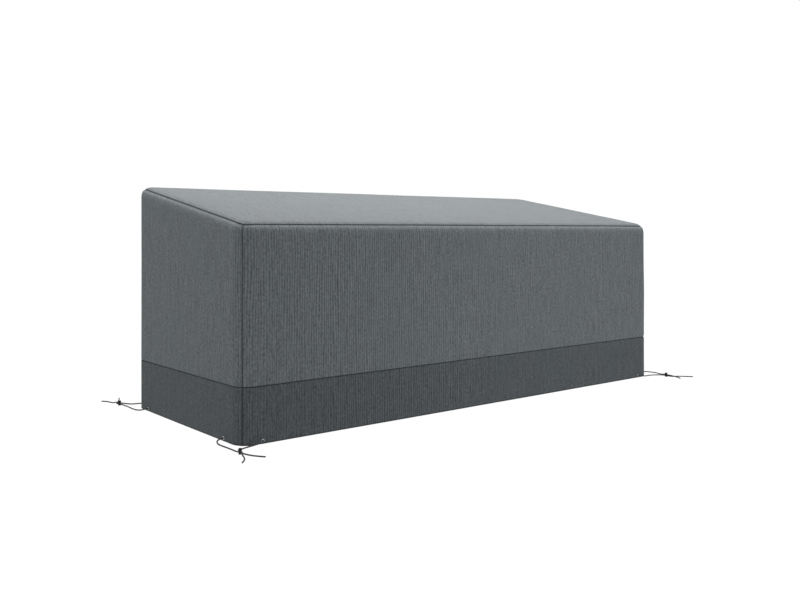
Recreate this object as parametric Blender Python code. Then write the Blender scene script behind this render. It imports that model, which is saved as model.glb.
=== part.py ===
"""Fitted patio furniture cover with a sloping top, a darker skirt and corner drawcords.

X runs along the front, Y towards the back and Z up. The origin is on the floor, in the
middle under the cover. All sizes are in metres.
"""
import math

import bmesh
import bpy
from mathutils import Matrix, Vector
from mathutils.geometry import interpolate_bezier

# Driving sizes of the cover.
COVER_LENGTH = 2.235
COVER_DEPTH = 0.855
FRONT_HEIGHT = 0.735  # height of the sloping top's plane over the front wall
BACK_HEIGHT = 0.890  # and over the back wall
SKIRT_HEIGHT = 0.193
CORNER_RADIUS = 0.058  # plan radius of the four upright corners
ROLL_RADIUS = 0.040  # how softly the walls turn over into the top
TOP_SEAM_INSET = 0.016  # how far the top seam lies in from the wall's face
CLOTH_THICKNESS = 0.002
HEM_THICKNESS = 0.0035  # the skirt's cloth folded in on itself
HEM_HEIGHT = 0.024
HEM_ROUNDING = 0.0008
SEAM_GAP = 0.00045  # between two pieces that are sewn edge to edge

CORNER_STEPS = 5  # facets in each half of an upright corner
ROLL_STEPS = 5
MERGE_DISTANCE = 0.00001

# Hem eyelets: a flanged ring closed over the hem.
EYELET_HEIGHT = 0.011
EYELET_FROM_CORNER_ON_END = 0.115
EYELET_FROM_CORNER_ON_SIDE = 0.084
EYELET_BORE_RADIUS = 0.0028
EYELET_SHANK_RADIUS = 0.0036
EYELET_FLANGE_RADIUS = 0.0061
EYELET_FLANGE_THICKNESS = 0.0010
FIT_GAP = 0.0003  # between pieces that touch on the real cover
EYELET_FACETS = 16

# Drawcords and the cord locks that they run through.
CORD_DIAMETER = 0.0050
CORD_POINT_SPACING = 0.0110
CURVE_STEPS = 8  # fine steps between two of a route's own points
FLOOR_CLEARANCE = 0.00005
LOCK_FLANGE_RADIUS = 0.0060
LOCK_WAIST_RADIUS = 0.0048
LOCK_WAIST_TAPER = 0.0012  # height over which a flange draws in to the waist
LOCK_BODY_HEIGHT = 0.0150
LOCK_HEIGHT = 0.0190
LOCK_EDGE_ROUNDING = 0.0007
BUTTON_RADIUS = 0.0057
BUTTON_EDGE_ROUNDING = 0.0009
LOCK_FACETS = 24
LOWER_CORD_HEIGHT = 0.0050  # cord centres inside the lock
UPPER_CORD_HEIGHT = 0.0104
SLOT_WIDTH = 0.0064
SLOT_END_STEPS = 6  # facets in each round end of the slot

HALF_LENGTH = COVER_LENGTH / 2
HALF_DEPTH = COVER_DEPTH / 2
TOP_SLOPE = (BACK_HEIGHT - FRONT_HEIGHT) / COVER_DEPTH
SEAM_TURN = math.acos(1 - TOP_SEAM_INSET / ROLL_RADIUS)

# Each side runs counter-clockwise, seen from above, between two corners given as signs.
SIDES = {
    "front": ((-1, -1), (1, -1)),
    "right": ((1, -1), (1, 1)),
    "back": ((1, 1), (-1, 1)),
    "left": ((-1, 1), (-1, -1)),
}
CORNERS = {
    "front_left": (-1, -1),
    "front_right": (1, -1),
    "back_left": (-1, 1),
    "back_right": (1, 1),
}

# Each lock's place, beyond the end wall and beyond the front or back wall,
# and the direction of its slot, away from the cover, in the same two terms.
LOCK_PLACES = {
    "front_left": (0.0390, 0.0705),
    "front_right": (0.0430, 0.0705),
    "back_left": (0.0430, 0.0705),
    "back_right": (0.0430, 0.0705),
}
SLOT_HEADINGS = {
    "front_left": (0.0, 1.0),
    "front_right": (-0.15, 0.989),
    "back_left": (0.30, 0.954),
    "back_right": (0.30, 0.954),
}

# Routes of the drawcords' free stretches, from just inside the hem to the free end.
# Columns: beyond the end wall's face, beyond the front or back wall's face, height.
CORD_ROUTES = {
    "cord_front_left_end": (
        (-0.0080, -0.1150, 0.0110),
        (0.0000, -0.1150, 0.0110),
        (0.0090, -0.1148, 0.0108),
        (0.0180, -0.1125, 0.0097),
        (0.0260, -0.1075, 0.0079),
        (0.0320, -0.1000, 0.0059),
        (0.0360, -0.0900, 0.0042),
        (0.0380, -0.0780, 0.0029),
        (0.0386, -0.0640, 0.0025),
        (0.0380, -0.0450, 0.0025),
        (0.0370, -0.0220, 0.0025),
        (0.0364, 0.0000, 0.0025),
        (0.0366, 0.0200, 0.0026),
        (0.0374, 0.0370, 0.0031),
        (0.0384, 0.0510, 0.0043),
        (0.0390, 0.0646, 0.0050),
        (0.0390, 0.0705, 0.0050),
        (0.0388, 0.0764, 0.0050),
        (0.0362, 0.0855, 0.0047),
        (0.0320, 0.0955, 0.0038),
        (0.0272, 0.1062, 0.0030),
        (0.0220, 0.1170, 0.0026),
        (0.0160, 0.1285, 0.0025),
        (0.0095, 0.1392, 0.0025),
        (0.0030, 0.1487, 0.0025),
        (-0.0032, 0.1572, 0.0025),
    ),
    "cord_front_left_side": (
        (-0.0840, -0.0080, 0.0110),
        (-0.0840, 0.0000, 0.0110),
        (-0.0828, 0.0068, 0.0108),
        (-0.0785, 0.0122, 0.0102),
        (-0.0718, 0.0145, 0.0090),
        (-0.0630, 0.0142, 0.0074),
        (-0.0520, 0.0125, 0.0055),
        (-0.0390, 0.0120, 0.0038),
        (-0.0260, 0.0142, 0.0033),
        (-0.0130, 0.0212, 0.0042),
        (-0.0015, 0.0302, 0.0062),
        (0.0090, 0.0395, 0.0077),
        (0.0190, 0.0462, 0.0094),
        (0.0278, 0.0502, 0.0102),
        (0.0346, 0.0540, 0.0104),
        (0.0382, 0.0592, 0.0104),
        (0.0390, 0.0646, 0.0104),
        (0.0390, 0.0705, 0.0104),
        (0.0390, 0.0764, 0.0104),
        (0.0402, 0.0845, 0.0100),
        (0.0438, 0.0925, 0.0085),
        (0.0478, 0.1005, 0.0067),
        (0.0506, 0.1095, 0.0049),
        (0.0534, 0.1200, 0.0034),
        (0.0573, 0.1305, 0.0026),
        (0.0617, 0.1398, 0.0025),
        (0.0667, 0.1478, 0.0025),
        (0.0724, 0.1553, 0.0025),
        (0.0803, 0.1642, 0.0025),
        (0.0886, 0.1731, 0.0025),
    ),
    "cord_front_right_end": (
        (-0.0080, -0.1150, 0.0110),
        (0.0000, -0.1150, 0.0110),
        (0.0110, -0.1148, 0.0107),
        (0.0230, -0.1130, 0.0095),
        (0.0350, -0.1090, 0.0075),
        (0.0465, -0.1035, 0.0054),
        (0.0575, -0.0960, 0.0036),
        (0.0680, -0.0865, 0.0025),
        (0.0775, -0.0745, 0.0025),
        (0.0850, -0.0590, 0.0025),
        (0.0885, -0.0410, 0.0025),
        (0.0880, -0.0220, 0.0025),
        (0.0835, -0.0030, 0.0025),
        (0.0765, 0.0150, 0.0026),
        (0.0680, 0.0310, 0.0042),
        (0.0592, 0.0440, 0.0068),
        (0.0512, 0.0542, 0.0090),
        (0.0452, 0.0625, 0.0103),
        (0.0430, 0.0705, 0.0104),
        (0.0421, 0.0764, 0.0104),
        (0.0428, 0.0860, 0.0097),
        (0.0460, 0.0965, 0.0084),
        (0.0505, 0.1070, 0.0062),
        (0.0540, 0.1180, 0.0038),
        (0.0540, 0.1290, 0.0025),
        (0.0490, 0.1390, 0.0025),
        (0.0405, 0.1480, 0.0025),
        (0.0303, 0.1554, 0.0025),
    ),
    "cord_front_right_side": (
        (-0.0840, -0.0080, 0.0110),
        (-0.0840, 0.0000, 0.0110),
        (-0.0828, 0.0068, 0.0108),
        (-0.0785, 0.0122, 0.0102),
        (-0.0715, 0.0142, 0.0089),
        (-0.0620, 0.0132, 0.0071),
        (-0.0500, 0.0105, 0.0050),
        (-0.0360, 0.0080, 0.0036),
        (-0.0210, 0.0060, 0.0027),
        (-0.0060, 0.0055, 0.0025),
        (0.0090, 0.0075, 0.0025),
        (0.0235, 0.0135, 0.0026),
        (0.0360, 0.0235, 0.0028),
        (0.0440, 0.0360, 0.0036),
        (0.0462, 0.0480, 0.0045),
        (0.0448, 0.0590, 0.0051),
        (0.0437, 0.0655, 0.0050),
        (0.0430, 0.0705, 0.0050),
        (0.0421, 0.0764, 0.0050),
        (0.0438, 0.0850, 0.0045),
        (0.0512, 0.0930, 0.0034),
        (0.0620, 0.0990, 0.0025),
        (0.0745, 0.1050, 0.0025),
        (0.0870, 0.1140, 0.0025),
        (0.0985, 0.1260, 0.0025),
        (0.1100, 0.1400, 0.0025),
        (0.1200, 0.1520, 0.0025),
        (0.1288, 0.1626, 0.0025),
    ),
    "cord_back_left_end": (
        (-0.0080, -0.1150, 0.0110),
        (0.0000, -0.1150, 0.0110),
        (0.0085, -0.1142, 0.0105),
        (0.0158, -0.1108, 0.0090),
        (0.0215, -0.1045, 0.0068),
        (0.0258, -0.0945, 0.0048),
        (0.0290, -0.0815, 0.0033),
        (0.0315, -0.0655, 0.0025),
        (0.0330, -0.0460, 0.0025),
        (0.0332, -0.0240, 0.0025),
        (0.0322, -0.0020, 0.0025),
        (0.0318, 0.0180, 0.0025),
        (0.0332, 0.0360, 0.0027),
        (0.0365, 0.0510, 0.0040),
        (0.0408, 0.0636, 0.0051),
        (0.0430, 0.0705, 0.0050),
        (0.0448, 0.0762, 0.0050),
        (0.0460, 0.0850, 0.0047),
        (0.0440, 0.0960, 0.0041),
        (0.0390, 0.1085, 0.0031),
        (0.0320, 0.1220, 0.0026),
        (0.0235, 0.1370, 0.0025),
        (0.0145, 0.1540, 0.0025),
        (0.0060, 0.1730, 0.0025),
        (-0.0015, 0.1900, 0.0025),
        (-0.0080, 0.2040, 0.0025),
    ),
    "cord_back_left_side": (
        (-0.0840, -0.0080, 0.0110),
        (-0.0840, 0.0000, 0.0110),
        (-0.0834, 0.0080, 0.0107),
        (-0.0805, 0.0155, 0.0097),
        (-0.0750, 0.0225, 0.0080),
        (-0.0670, 0.0295, 0.0058),
        (-0.0570, 0.0360, 0.0038),
        (-0.0450, 0.0412, 0.0026),
        (-0.0300, 0.0450, 0.0025),
        (-0.0145, 0.0475, 0.0026),
        (0.0000, 0.0488, 0.0033),
        (0.0130, 0.0498, 0.0053),
        (0.0245, 0.0515, 0.0078),
        (0.0340, 0.0558, 0.0095),
        (0.0400, 0.0632, 0.0104),
        (0.0430, 0.0705, 0.0104),
        (0.0448, 0.0762, 0.0104),
        (0.0468, 0.0860, 0.0101),
        (0.0482, 0.0980, 0.0085),
        (0.0495, 0.1110, 0.0054),
        (0.0510, 0.1250, 0.0033),
        (0.0528, 0.1400, 0.0026),
        (0.0555, 0.1550, 0.0025),
        (0.0610, 0.1690, 0.0025),
        (0.0680, 0.1800, 0.0025),
        (0.0740, 0.1880, 0.0025),
    ),
    "cord_back_right_end": (
        (-0.0080, -0.1150, 0.0110),
        (0.0000, -0.1150, 0.0110),
        (0.0090, -0.1145, 0.0107),
        (0.0175, -0.1118, 0.0094),
        (0.0248, -0.1062, 0.0073),
        (0.0305, -0.0975, 0.0053),
        (0.0345, -0.0855, 0.0036),
        (0.0370, -0.0700, 0.0026),
        (0.0378, -0.0510, 0.0025),
        (0.0372, -0.0290, 0.0025),
        (0.0358, -0.0070, 0.0025),
        (0.0348, 0.0140, 0.0025),
        (0.0352, 0.0330, 0.0027),
        (0.0372, 0.0490, 0.0040),
        (0.0408, 0.0636, 0.0051),
        (0.0430, 0.0705, 0.0050),
        (0.0448, 0.0762, 0.0050),
        (0.0464, 0.0850, 0.0048),
        (0.0452, 0.0960, 0.0038),
        (0.0405, 0.1075, 0.0028),
        (0.0330, 0.1190, 0.0025),
        (0.0240, 0.1310, 0.0025),
        (0.0150, 0.1445, 0.0025),
        (0.0080, 0.1590, 0.0025),
        (0.0030, 0.1730, 0.0025),
    ),
    "cord_back_right_side": (
        (-0.0840, -0.0080, 0.0110),
        (-0.0840, 0.0000, 0.0110),
        (-0.0832, 0.0075, 0.0107),
        (-0.0798, 0.0142, 0.0098),
        (-0.0735, 0.0198, 0.0082),
        (-0.0645, 0.0248, 0.0062),
        (-0.0535, 0.0295, 0.0042),
        (-0.0410, 0.0335, 0.0028),
        (-0.0270, 0.0370, 0.0025),
        (-0.0130, 0.0400, 0.0026),
        (0.0010, 0.0432, 0.0033),
        (0.0138, 0.0468, 0.0053),
        (0.0250, 0.0510, 0.0078),
        (0.0340, 0.0565, 0.0095),
        (0.0400, 0.0636, 0.0104),
        (0.0430, 0.0705, 0.0104),
        (0.0448, 0.0762, 0.0104),
        (0.0480, 0.0855, 0.0101),
        (0.0524, 0.0960, 0.0081),
        (0.0572, 0.1070, 0.0051),
        (0.0632, 0.1180, 0.0032),
        (0.0702, 0.1290, 0.0026),
        (0.0785, 0.1390, 0.0025),
        (0.0880, 0.1475, 0.0025),
        (0.0985, 0.1545, 0.0025),
    ),
}


def clear_scene():
    for old in list(bpy.data.objects):
        bpy.data.objects.remove(old, do_unlink=True)


def make_material(name, color, roughness, metallic=0.0):
    material = bpy.data.materials.new(name)
    material.use_nodes = True
    shader = material.node_tree.nodes["Principled BSDF"]
    shader.inputs["Base Color"].default_value = (*color, 1.0)
    shader.inputs["Roughness"].default_value = roughness
    shader.inputs["Metallic"].default_value = metallic
    material.diffuse_color = (*color, 1.0)
    return material


def add_mesh_object(name, bm, material, smooth_angle=35.0):
    bmesh.ops.recalc_face_normals(bm, faces=bm.faces)
    mesh = bpy.data.meshes.new(name)
    bm.to_mesh(mesh)
    bm.free()
    mesh.shade_smooth()
    mesh.set_sharp_from_angle(angle=math.radians(smooth_angle))
    mesh.materials.append(material)
    piece = bpy.data.objects.new(name, mesh)
    bpy.context.collection.objects.link(piece)
    return piece


def add_hole(piece, name, bm):
    """Cut a closed shape out of a piece with a Boolean modifier."""
    bmesh.ops.recalc_face_normals(bm, faces=bm.faces)
    mesh = bpy.data.meshes.new(name)
    bm.to_mesh(mesh)
    bm.free()
    cutter = bpy.data.objects.new(name, mesh)
    cutter.hide_render = True
    cutter.display_type = "WIRE"
    bpy.context.collection.objects.link(cutter)
    hole = piece.modifiers.new(name, "BOOLEAN")
    hole.operation = "DIFFERENCE"
    hole.solver = "EXACT"
    hole.object = cutter


# ---- Cloth panels ----


def roll_point(turn, depth):
    """Inset from the wall and height against the top's plane, on the rolled upper edge.

    turn is 0 at the wall and a right angle at the top. depth is inward from the outer face.
    """
    reach = ROLL_RADIUS - depth
    inset = ROLL_RADIUS - reach * math.cos(turn)
    drop = ROLL_RADIUS - reach * math.sin(turn)
    return inset, -drop


def spread(start, end, steps):
    return [start + (end - start) * step / steps for step in range(steps + 1)]


def wall_section():
    """Closed outline of an upper wall, as (inset, height) over the front wall."""
    seam_edge = SEAM_TURN - SEAM_GAP / 2 / ROLL_RADIUS
    turns = spread(0.0, seam_edge, ROLL_STEPS)
    foot = SKIRT_HEIGHT + SEAM_GAP / 2
    outer = [roll_point(turn, 0.0) for turn in turns]
    inner = [roll_point(turn, CLOTH_THICKNESS) for turn in reversed(turns)]
    rolled = [(inset, FRONT_HEIGHT + height) for inset, height in outer + inner]
    return [(0.0, foot)] + rolled + [(CLOTH_THICKNESS, foot)]


def skirt_section():
    """Closed outline of a skirt band, with its hem folded inwards at the floor."""
    head = SKIRT_HEIGHT - SEAM_GAP / 2
    return [
        (0.0, HEM_ROUNDING),
        (0.0, head),
        (CLOTH_THICKNESS, head),
        (CLOTH_THICKNESS, HEM_HEIGHT + HEM_ROUNDING),
        (HEM_THICKNESS, HEM_HEIGHT),
        (HEM_THICKNESS, HEM_ROUNDING),
        (HEM_THICKNESS - HEM_ROUNDING, 0.0),
        (HEM_ROUNDING, 0.0),
    ]


def corner_centre(signs):
    return Vector((
        signs[0] * (HALF_LENGTH - CORNER_RADIUS),
        signs[1] * (HALF_DEPTH - CORNER_RADIUS),
        0.0,
    ))


def sweep_side(section, side):
    """Sweep a section from the middle of one corner, along a side, to the next corner's."""
    start, end = (corner_centre(signs) for signs in SIDES[side])
    run = end - start
    along = run.normalized()
    outward = along.cross(Vector((0.0, 0.0, 1.0)))
    half_corner = math.radians(45.0) - SEAM_GAP / 2 / CORNER_RADIUS
    first = Matrix.Rotation(-half_corner, 3, "Z") @ outward
    bm = bmesh.new()
    verts = []
    for inset, height in section:
        place = start + first * (CORNER_RADIUS - inset)
        place.z = height
        verts.append(bm.verts.new(place))
    face = bm.faces.new(verts)
    up = (0.0, 0.0, 1.0)

    def turn_corner(geometry, centre):
        swept = bmesh.ops.spin(
            bm, geom=geometry, cent=centre, axis=up, angle=half_corner, steps=CORNER_STEPS
        )
        return swept["geom_last"]

    swept = turn_corner([face], start)
    before_run = [item for item in swept if isinstance(item, bmesh.types.BMFace)]
    straight = bmesh.ops.extrude_face_region(bm, geom=before_run)["geom"]
    moved = [item for item in straight if isinstance(item, bmesh.types.BMVert)]
    bmesh.ops.translate(bm, verts=moved, vec=run)
    after_run = [item for item in straight if isinstance(item, bmesh.types.BMFace)]
    turn_corner(after_run, end)
    bmesh.ops.delete(bm, geom=before_run + after_run, context="FACES_ONLY")
    return bm


def lean_to_top(bm):
    """Raise the rolled edge towards the back, so that it follows the sloping top."""
    for vert in bm.verts:
        if vert.co.z > SKIRT_HEIGHT + CORNER_RADIUS:
            vert.co.z += TOP_SLOPE * (vert.co.y + HALF_DEPTH)


def plan_outline(inset):
    """Points of the cover's rounded rectangle, drawn in by an inset."""
    radius = CORNER_RADIUS - inset
    points = []
    for quarter, signs in enumerate(((1, 1), (-1, 1), (-1, -1), (1, -1))):
        centre = corner_centre(signs)
        for turn in spread(0.0, 90.0, 2 * CORNER_STEPS):
            angle = math.radians(90.0 * quarter + turn)
            arm = Vector((math.cos(angle), math.sin(angle), 0.0))
            points.append(centre + arm * radius)
    return points


def make_top_panel(material):
    seam_edge = SEAM_TURN + SEAM_GAP / 2 / ROLL_RADIUS
    turns = spread(seam_edge, math.radians(90.0), ROLL_STEPS)
    rings = [roll_point(turn, CLOTH_THICKNESS) for turn in reversed(turns)]
    rings += [roll_point(turn, 0.0) for turn in turns]
    bm = bmesh.new()
    loops = []
    for inset, height in rings:
        verts = []
        for place in plan_outline(inset):
            place.z = FRONT_HEIGHT + TOP_SLOPE * (place.y + HALF_DEPTH) + height
            verts.append(bm.verts.new(place))
        count = len(verts)
        loops.append([bm.edges.new((verts[i], verts[(i + 1) % count])) for i in range(count)])
    for lower, upper in zip(loops, loops[1:]):
        bmesh.ops.bridge_loops(bm, edges=lower + upper)
    bmesh.ops.contextual_create(bm, geom=loops[0])
    bmesh.ops.contextual_create(bm, geom=loops[-1])
    return add_mesh_object("top_panel", bm, material)


def make_walls(material):
    for side in SIDES:
        bm = sweep_side(wall_section(), side)
        lean_to_top(bm)
        add_mesh_object(side + "_wall", bm, material)


def make_skirts(material):
    return {
        side: add_mesh_object(side + "_skirt", sweep_side(skirt_section(), side), material)
        for side in SIDES
    }


# ---- Eyelets ----


def eyelet_places():
    """Name, skirt side, place on the skirt's face and outward direction of each eyelet."""
    for corner, (sign_x, sign_y) in CORNERS.items():
        end_side = "right" if sign_x > 0 else "left"
        long_side = "back" if sign_y > 0 else "front"
        end_place = Vector((
            sign_x * HALF_LENGTH,
            sign_y * (HALF_DEPTH - EYELET_FROM_CORNER_ON_END),
            EYELET_HEIGHT,
        ))
        long_place = Vector((
            sign_x * (HALF_LENGTH - EYELET_FROM_CORNER_ON_SIDE),
            sign_y * HALF_DEPTH,
            EYELET_HEIGHT,
        ))
        yield f"eyelet_{corner}_end", end_side, end_place, Vector((sign_x, 0.0, 0.0))
        yield f"eyelet_{corner}_side", long_side, long_place, Vector((0.0, sign_y, 0.0))


def spin_ring(section, facets):
    """Turn a closed (radius, height) outline about Z into a ring."""
    bm = bmesh.new()
    verts = [bm.verts.new((radius, 0.0, height)) for radius, height in section]
    count = len(verts)
    edges = [bm.edges.new((verts[i], verts[(i + 1) % count])) for i in range(count)]
    bmesh.ops.spin(
        bm, geom=verts + edges, cent=(0.0, 0.0, 0.0), axis=(0.0, 0.0, 1.0),
        angle=math.radians(360.0), steps=facets, use_merge=True,
    )
    bmesh.ops.remove_doubles(bm, verts=bm.verts, dist=MERGE_DISTANCE)
    return bm


def eyelet_section():
    """Outline of the closed eyelet. Height 0 is the hem's outer face, and up is outward."""
    bore = EYELET_BORE_RADIUS
    shank = EYELET_SHANK_RADIUS
    flange = EYELET_FLANGE_RADIUS
    lip = EYELET_FLANGE_THICKNESS
    front = FIT_GAP
    back = -HEM_THICKNESS - FIT_GAP
    return [
        (bore, back - lip * 0.6),
        (bore, front + lip * 0.6),
        (shank, front + lip),
        (flange - lip, front + lip * 0.9),
        (flange, front + lip * 0.3),
        (flange, front),
        (shank, front),
        (shank, back),
        (flange, back),
        (flange - lip * 0.4, back - lip * 0.7),
        (shank, back - lip),
    ]


def turned_to(direction, place):
    """Matrix that turns +Z to a direction and moves the origin to a place."""
    turn = direction.to_track_quat("Z", "Y").to_matrix().to_4x4()
    return Matrix.Translation(place) @ turn


def make_eyelets(skirts, material):
    hole_radius = EYELET_SHANK_RADIUS + FIT_GAP
    for name, side, place, direction in eyelet_places():
        frame = turned_to(direction, place)
        bm = spin_ring(eyelet_section(), EYELET_FACETS)
        bmesh.ops.transform(bm, matrix=frame, verts=bm.verts)
        add_mesh_object(name, bm, material, smooth_angle=50.0)
        cutter = bmesh.new()
        bmesh.ops.create_cone(
            cutter, cap_ends=True, segments=EYELET_FACETS,
            radius1=hole_radius, radius2=hole_radius, depth=4 * HEM_THICKNESS,
        )
        bmesh.ops.transform(cutter, matrix=frame, verts=cutter.verts)
        add_hole(skirts[side], name + "_hole", cutter)


# ---- Cord locks and drawcords ----


def corner_point(corner, out, fore, height):
    """World place of a point measured outwards from a corner's two wall faces."""
    sign_x, sign_y = CORNERS[corner]
    return Vector((sign_x * (HALF_LENGTH + out), sign_y * (HALF_DEPTH + fore), height))


def lathe(outline, facets):
    """Turn an open (radius, height) outline, whose ends lie on Z, into a closed solid."""
    bm = bmesh.new()
    verts = [bm.verts.new((radius, 0.0, height)) for radius, height in outline]
    edges = [bm.edges.new(pair) for pair in zip(verts, verts[1:])]
    bmesh.ops.spin(
        bm, geom=verts + edges, cent=(0.0, 0.0, 0.0), axis=(0.0, 0.0, 1.0),
        angle=math.radians(360.0), steps=facets, use_merge=True,
    )
    bmesh.ops.remove_doubles(bm, verts=bm.verts, dist=MERGE_DISTANCE)
    return bm


def lock_outline():
    """A barrel with a flange at each end and a waist where the cords run through."""
    flange = LOCK_FLANGE_RADIUS
    waist = LOCK_WAIST_RADIUS
    top = LOCK_BODY_HEIGHT
    slot_foot = LOWER_CORD_HEIGHT - SLOT_WIDTH / 2
    slot_head = UPPER_CORD_HEIGHT + SLOT_WIDTH / 2
    return [
        (0.0, 0.0),
        (flange - LOCK_EDGE_ROUNDING, 0.0),
        (flange, LOCK_EDGE_ROUNDING),
        (flange, slot_foot),
        (waist, slot_foot + LOCK_WAIST_TAPER),
        (waist, slot_head - LOCK_WAIST_TAPER),
        (flange, slot_head),
        (flange, top - LOCK_EDGE_ROUNDING),
        (flange - LOCK_EDGE_ROUNDING, top),
        (0.0, top),
    ]


def button_outline():
    foot = LOCK_BODY_HEIGHT + FIT_GAP
    return [
        (0.0, foot),
        (BUTTON_RADIUS, foot),
        (BUTTON_RADIUS, LOCK_HEIGHT - BUTTON_EDGE_ROUNDING),
        (BUTTON_RADIUS - BUTTON_EDGE_ROUNDING, LOCK_HEIGHT),
        (0.0, LOCK_HEIGHT),
    ]


def slot_shape():
    """Upright slot with round ends, running along X through the lock's axis."""
    bm = bmesh.new()
    reach = 1.5 * LOCK_FLANGE_RADIUS  # out of both sides of the barrel
    radius = SLOT_WIDTH / 2
    verts = []
    for centre, start in ((UPPER_CORD_HEIGHT, 0.0), (LOWER_CORD_HEIGHT, 180.0)):
        for turn in spread(0.0, 180.0, SLOT_END_STEPS):
            angle = math.radians(start + turn)
            place = (-reach, radius * math.cos(angle), centre + radius * math.sin(angle))
            verts.append(bm.verts.new(place))
    face = bm.faces.new(verts)
    far = bmesh.ops.extrude_face_region(bm, geom=[face])["geom"]
    moved = [item for item in far if isinstance(item, bmesh.types.BMVert)]
    bmesh.ops.translate(bm, verts=moved, vec=(2 * reach, 0.0, 0.0))
    return bm


def make_locks(material):
    for corner, (sign_x, sign_y) in CORNERS.items():
        heading = SLOT_HEADINGS[corner]
        angle = math.atan2(sign_y * heading[1], sign_x * heading[0])
        place = corner_point(corner, *LOCK_PLACES[corner], 0.0)
        frame = Matrix.Translation(place) @ Matrix.Rotation(angle, 4, "Z")
        body = lathe(lock_outline(), LOCK_FACETS)
        bmesh.ops.transform(body, matrix=frame, verts=body.verts)
        lock = add_mesh_object("lock_" + corner, body, material)
        slot = slot_shape()
        bmesh.ops.transform(slot, matrix=frame, verts=slot.verts)
        add_hole(lock, "slot_" + corner, slot)
        button = lathe(button_outline(), LOCK_FACETS)
        bmesh.ops.transform(button, matrix=frame, verts=button.verts)
        add_mesh_object("button_" + corner, button, material)


def smooth_curve(points):
    """Fine points along a Catmull-Rom curve through the route's own points."""
    fine = []
    last = len(points) - 1
    for index in range(last):
        here, there = points[index], points[index + 1]
        pull_out = (there - points[max(index - 1, 0)]) / 6
        pull_in = (points[min(index + 2, last)] - here) / 6
        arc = interpolate_bezier(here, here + pull_out, there - pull_in, there, CURVE_STEPS + 1)
        fine.extend(arc[:-1])
    return fine + [points[last]]


def evenly_spaced(curve):
    """Points a little over two diameters apart along a fine curve, ends included."""
    walked = [0.0]
    for here, there in zip(curve, curve[1:]):
        walked.append(walked[-1] + (there - here).length)
    count = round(walked[-1] / CORD_POINT_SPACING)
    even = [curve[0]]
    index = 0
    for step in range(1, count):
        target = walked[-1] * step / count
        while walked[index + 1] < target:
            index += 1
        share = (target - walked[index]) / (walked[index + 1] - walked[index])
        even.append(curve[index].lerp(curve[index + 1], share))
    return even + [curve[-1]]


def cord_points(corner, route):
    """Points of a drawcord's tube, one of them in the middle of its lock."""
    curve = smooth_curve([corner_point(corner, *row) for row in route])
    lock_row = [row[:2] for row in route].index(LOCK_PLACES[corner])
    split = lock_row * CURVE_STEPS
    return evenly_spaced(curve[:split + 1]) + evenly_spaced(curve[split:])[1:]


def make_cords(material):
    lowest = CORD_DIAMETER / 2 + FLOOR_CLEARANCE
    for name, route in CORD_ROUTES.items():
        corner = name.removeprefix("cord_").removesuffix("_end").removesuffix("_side")
        points = cord_points(corner, route)
        curve = bpy.data.curves.new(name, "CURVE")
        curve.dimensions = "3D"
        curve.bevel_depth = CORD_DIAMETER / 2
        curve.bevel_resolution = 2
        curve.use_fill_caps = True
        spline = curve.splines.new("POLY")
        spline.points.add(len(points) - 1)
        for spot, place in zip(spline.points, points):
            spot.co = (place.x, place.y, max(place.z, lowest), 1.0)
        curve.materials.append(material)
        bpy.context.collection.objects.link(bpy.data.objects.new(name, curve))


def main():
    clear_scene()
    upper_cloth = make_material("upper_cloth", (0.150, 0.165, 0.176), 0.85)
    skirt_cloth = make_material("skirt_cloth", (0.080, 0.091, 0.099), 0.88)
    nickel = make_material("eyelet_metal", (0.62, 0.62, 0.61), 0.35, 1.0)
    lock_plastic = make_material("lock_plastic", (0.012, 0.012, 0.013), 0.45)
    cord_yarn = make_material("drawcord", (0.085, 0.087, 0.088), 0.80)
    make_top_panel(upper_cloth)
    make_walls(upper_cloth)
    skirts = make_skirts(skirt_cloth)
    make_eyelets(skirts, nickel)
    make_locks(lock_plastic)
    make_cords(cord_yarn)


main()
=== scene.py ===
import math

import bpy
from mathutils import Matrix, Vector, noise
from mathutils.geometry import interpolate_bezier


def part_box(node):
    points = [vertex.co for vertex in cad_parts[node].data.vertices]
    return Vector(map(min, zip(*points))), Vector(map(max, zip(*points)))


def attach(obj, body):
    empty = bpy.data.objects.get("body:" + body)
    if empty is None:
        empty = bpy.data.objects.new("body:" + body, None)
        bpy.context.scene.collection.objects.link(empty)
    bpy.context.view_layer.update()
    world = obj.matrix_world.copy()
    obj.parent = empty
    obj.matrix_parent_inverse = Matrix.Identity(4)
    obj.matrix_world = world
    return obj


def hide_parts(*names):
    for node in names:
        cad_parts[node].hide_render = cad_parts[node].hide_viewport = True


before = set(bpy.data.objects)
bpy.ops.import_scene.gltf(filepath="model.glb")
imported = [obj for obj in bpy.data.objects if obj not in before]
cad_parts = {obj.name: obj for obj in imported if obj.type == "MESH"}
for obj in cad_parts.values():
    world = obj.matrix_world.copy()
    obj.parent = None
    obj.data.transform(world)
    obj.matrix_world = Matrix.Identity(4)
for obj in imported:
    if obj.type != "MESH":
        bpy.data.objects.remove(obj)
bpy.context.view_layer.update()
print("frame loaded,", len(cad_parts), "nodes")

# The cover's own sizes in metres. Its length, depth and skirt come from the frame.
cover = {
    "halfLength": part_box("right_skirt")[1].x,
    "halfDepth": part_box("back_skirt")[1].y,
    "skirtHeight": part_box("front_skirt")[1].z,
    "frontHeight": 0.735,  # height of the sloping top's plane over the front wall
    "backHeight": 0.890,
    "cornerRadius": 0.058,
    "rollRadius": 0.040,  # how softly the walls turn over into the top
    "topSeamInset": 0.016,
    "clothThickness": 0.0009,
}
slope = (cover["backHeight"] - cover["frontHeight"]) / (2 * cover["halfDepth"])
seamTurn = math.acos(1 - cover["topSeamInset"] / cover["rollRadius"])
rollStart = cover["frontHeight"] - cover["rollRadius"]

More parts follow.
